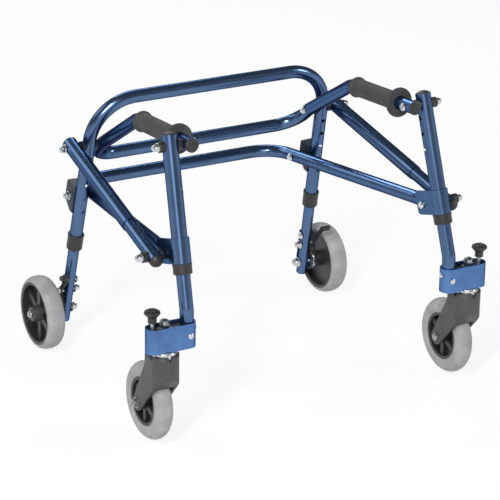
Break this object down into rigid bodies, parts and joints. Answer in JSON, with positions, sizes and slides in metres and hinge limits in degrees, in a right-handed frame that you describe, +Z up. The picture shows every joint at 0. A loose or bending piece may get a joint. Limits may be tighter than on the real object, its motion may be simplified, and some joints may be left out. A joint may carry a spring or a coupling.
{
  "type": "posterior walker",
  "caption": "Folding four-wheeled posterior walker with a blue tube frame, black hand grips, lockable front casters and one-way rear wheels.",
  "frame": {"origin": "on the floor, under the middle of the whole walker", "axes": "+X across the walker, -Y towards the open front with the casters, +Z up"},
  "size_m": [0.6284, 0.54, 0.4924],
  "materials": {
    "blue_tube": "metallic blue anodised, satin gloss",
    "blue_housing": "metallic blue, satin",
    "black_plastic": "moulded matte black",
    "grip_rubber": "matte dark grey rubber",
    "grey_plastic": "moulded dark grey",
    "grey_tyre": "smooth light grey tyre",
    "zinc": "bright zinc plated"
  },
  "bodies": {
    "rear_frame": {"rear_frame": "blue_tube", "rear_collars": "black_plastic", "rear_pivot_mounts": "black_plastic", "rear_pivot_bolts": "zinc"},
    "handle": {"handle_tube": "blue_tube", "grips": "grip_rubber", "handle_plugs": "black_plastic"},
    "lower_tube": {"lower_tube": "blue_tube"},
    "left_strut_outer": {"left_strut_outer": "blue_tube", "left_strut_cap": "black_plastic"},
    "left_strut_inner": {"left_strut_inner": "blue_tube", "left_strut_fittings": "black_plastic", "left_strut_bolt": "zinc"},
    "left_strut_button": {"left_strut_button": "zinc"},
    "left_front_leg": {"left_front_upright": "blue_tube", "left_front_strap": "blue_tube", "left_front_plastics": "black_plastic", "left_front_bolts": "zinc"},
    "left_front_lower_leg": {"left_front_lower_leg": "blue_tube", "left_caster_housing": "blue_housing", "left_caster_fasteners": "zinc"},
    "left_front_button": {"left_front_button": "zinc"},
    "left_lock_knob": {"left_lock_knob": "black_plastic"},
    "left_fork": {"left_fork": "grey_plastic", "left_front_axle": "zinc"},
    "left_front_wheel": {"left_front_tyre": "grey_tyre", "left_front_rim": "grey_plastic"},
    "left_rear_lower_leg": {"left_rear_lower_leg": "blue_tube", "left_rear_axle": "zinc"},
    "left_rear_button": {"left_rear_button": "zinc"},
    "left_pawl": {"left_pawl": "black_plastic"},
    "left_rear_wheel": {"left_rear_tyre": "grey_tyre", "left_rear_rim": "grey_plastic", "left_ratchet": "zinc"},
    "right_strut_outer": {"right_strut_outer": "blue_tube", "right_strut_cap": "black_plastic"},
    "right_strut_inner": {"right_strut_inner": "blue_tube", "right_strut_fittings": "black_plastic", "right_strut_bolt": "zinc"},
    "right_strut_button": {"right_strut_button": "zinc"},
    "right_front_leg": {"right_front_upright": "blue_tube", "right_front_strap": "blue_tube", "right_front_plastics": "black_plastic", "right_front_bolts": "zinc"},
    "right_front_lower_leg": {"right_front_lower_leg": "blue_tube", "right_caster_housing": "blue_housing", "right_caster_fasteners": "zinc"},
    "right_front_button": {"right_front_button": "zinc"},
    "right_lock_knob": {"right_lock_knob": "black_plastic"},
    "right_fork": {"right_fork": "grey_plastic", "right_front_axle": "zinc"},
    "right_front_wheel": {"right_front_tyre": "grey_tyre", "right_front_rim": "grey_plastic"},
    "right_rear_lower_leg": {"right_rear_lower_leg": "blue_tube", "right_rear_axle": "zinc"},
    "right_rear_button": {"right_rear_button": "zinc"},
    "right_pawl": {"right_pawl": "black_plastic"},
    "right_rear_wheel": {"right_rear_tyre": "grey_tyre", "right_rear_rim": "grey_plastic", "right_ratchet": "zinc"}
  },
  "joints": [
    {"name": "fold", "type": "hinge", "parent": "rear_frame", "child": "handle", "pos_m": [0, 0.13282, 0.3775], "axis": [1, 0, 0], "range_deg": [0, 75]},
    {"name": "lower_fold", "type": "hinge", "parent": "rear_frame", "child": "lower_tube", "pos_m": [0, 0.17553, 0.27873], "axis": [1, 0, 0], "range_deg": [0, 68.55]},
    {"name": "left_strut_swing", "type": "hinge", "parent": "rear_frame", "child": "left_strut_outer", "pos_m": [-0.25225, 0.13282, 0.3775], "axis": [1, 0, 0], "range_deg": [0, 62.21]},
    {"name": "left_strut_extend", "type": "slide", "parent": "left_strut_outer", "child": "left_strut_inner", "axis": [-0.0567, -0.9727, -0.225], "range_m": [0, 0.11368], "deforming": ["left_strut_button"]},
    {"name": "left_strut_button_press", "type": "slide", "parent": "left_strut_inner", "child": "left_strut_button", "axis": [0, -0.2254, 0.9743], "range_m": [0, 0.004], "stiffness_N_per_m": 800},
    {"name": "left_front_fold", "type": "hinge", "parent": "handle", "child": "left_front_leg", "pos_m": [-0.2315, -0.17268, 0.47], "axis": [1, 0, 0], "range_deg": [-50.08, 0]},
    {"name": "left_front_height", "type": "slide", "parent": "left_front_leg", "child": "left_front_lower_leg", "axis": [0.04, 0.2924, 0.9555], "range_m": [0, 0.0508], "deforming": ["left_front_button"]},
    {"name": "left_front_button_press", "type": "slide", "parent": "left_front_lower_leg", "child": "left_front_button", "axis": [-0.9991, 0, 0.0419], "range_m": [0, 0.004], "stiffness_N_per_m": 800},
    {"name": "left_lock", "type": "slide", "parent": "left_front_lower_leg", "child": "left_lock_knob", "axis": [0, 0, 1], "range_m": [-0.007, 0]},
    {"name": "left_swivel", "type": "hinge", "parent": "left_front_lower_leg", "child": "left_fork", "pos_m": [-0.28019, -0.24704, 0.169], "axis": [0, 0, 1], "continuous": true},
    {"name": "left_front_spin", "type": "hinge", "parent": "left_fork", "child": "left_front_wheel", "pos_m": [-0.28019, -0.19553, 0.0635], "axis": [1, 0, 0], "continuous": true},
    {"name": "left_rear_height", "type": "slide", "parent": "rear_frame", "child": "left_rear_lower_leg", "axis": [0.0408, -0.2284, 0.9727], "range_m": [-0.0508, 0.0508], "deforming": ["left_rear_button"]},
    {"name": "left_rear_button_press", "type": "slide", "parent": "left_rear_lower_leg", "child": "left_rear_button", "axis": [0.0096, 0.9736, 0.2282], "range_m": [0, 0.004], "stiffness_N_per_m": 800},
    {"name": "left_pawl_swing", "type": "hinge", "parent": "left_rear_lower_leg", "child": "left_pawl", "pos_m": [-0.23461, 0.19786, 0.10046], "axis": [1, 0, 0], "range_deg": [0, 6]},
    {"name": "left_rear_spin", "type": "hinge", "parent": "left_rear_lower_leg", "child": "left_rear_wheel", "pos_m": [-0.23616, 0.20653, 0.0635], "axis": [1, 0, 0], "continuous": true},
    {"name": "right_strut_swing", "type": "hinge", "parent": "rear_frame", "child": "right_strut_outer", "pos_m": [0.25225, 0.13282, 0.3775], "axis": [1, 0, 0], "range_deg": [0, 62.21]},
    {"name": "right_strut_extend", "type": "slide", "parent": "right_strut_outer", "child": "right_strut_inner", "axis": [0.0567, -0.9727, -0.225], "range_m": [0, 0.11368], "deforming": ["right_strut_button"]},
    {"name": "right_strut_button_press", "type": "slide", "parent": "right_strut_inner", "child": "right_strut_button", "axis": [0, -0.2254, 0.9743], "range_m": [0, 0.004], "stiffness_N_per_m": 800},
    {"name": "right_front_fold", "type": "hinge", "parent": "handle", "child": "right_front_leg", "pos_m": [0.2315, -0.17268, 0.47], "axis": [1, 0, 0], "range_deg": [-50.08, 0]},
    {"name": "right_front_height", "type": "slide", "parent": "right_front_leg", "child": "right_front_lower_leg", "axis": [-0.04, 0.2924, 0.9555], "range_m": [0, 0.0508], "deforming": ["right_front_button"]},
    {"name": "right_front_button_press", "type": "slide", "parent": "right_front_lower_leg", "child": "right_front_button", "axis": [0.9991, 0, 0.0419], "range_m": [0, 0.004], "stiffness_N_per_m": 800},
    {"name": "right_lock", "type": "slide", "parent": "right_front_lower_leg", "child": "right_lock_knob", "axis": [0, 0, 1], "range_m": [-0.007, 0]},
    {"name": "right_swivel", "type": "hinge", "parent": "right_front_lower_leg", "child": "right_fork", "pos_m": [0.28019, -0.24704, 0.169], "axis": [0, 0, 1], "continuous": true},
    {"name": "right_front_spin", "type": "hinge", "parent": "right_fork", "child": "right_front_wheel", "pos_m": [0.28019, -0.19553, 0.0635], "axis": [1, 0, 0], "continuous": true},
    {"name": "right_rear_height", "type": "slide", "parent": "rear_frame", "child": "right_rear_lower_leg", "axis": [-0.0408, -0.2284, 0.9727], "range_m": [-0.0508, 0.0508], "deforming": ["right_rear_button"]},
    {"name": "right_rear_button_press", "type": "slide", "parent": "right_rear_lower_leg", "child": "right_rear_button", "axis": [-0.0096, 0.9736, 0.2282], "range_m": [0, 0.004], "stiffness_N_per_m": 800},
    {"name": "right_pawl_swing", "type": "hinge", "parent": "right_rear_lower_leg", "child": "right_pawl", "pos_m": [0.23461, 0.19786, 0.10046], "axis": [1, 0, 0], "range_deg": [0, 6]},
    {"name": "right_rear_spin", "type": "hinge", "parent": "right_rear_lower_leg", "child": "right_rear_wheel", "pos_m": [0.23616, 0.20653, 0.0635], "axis": [1, 0, 0], "continuous": true}
  ],
  "couplings": [
    {"joint": "lower_fold", "follows": "fold", "ratio": 0.91369},
    {"joint": "left_strut_swing", "follows": "fold", "ratio": 0.82915},
    {"joint": "left_strut_extend", "follows": "fold", "m_per_rad": 0.08684},
    {"joint": "left_front_fold", "follows": "fold", "ratio": -0.66747},
    {"joint": "right_strut_swing", "follows": "fold", "ratio": 0.82915},
    {"joint": "right_strut_extend", "follows": "fold", "m_per_rad": 0.08684},
    {"joint": "right_front_fold", "follows": "fold", "ratio": -0.66747}
  ]
}
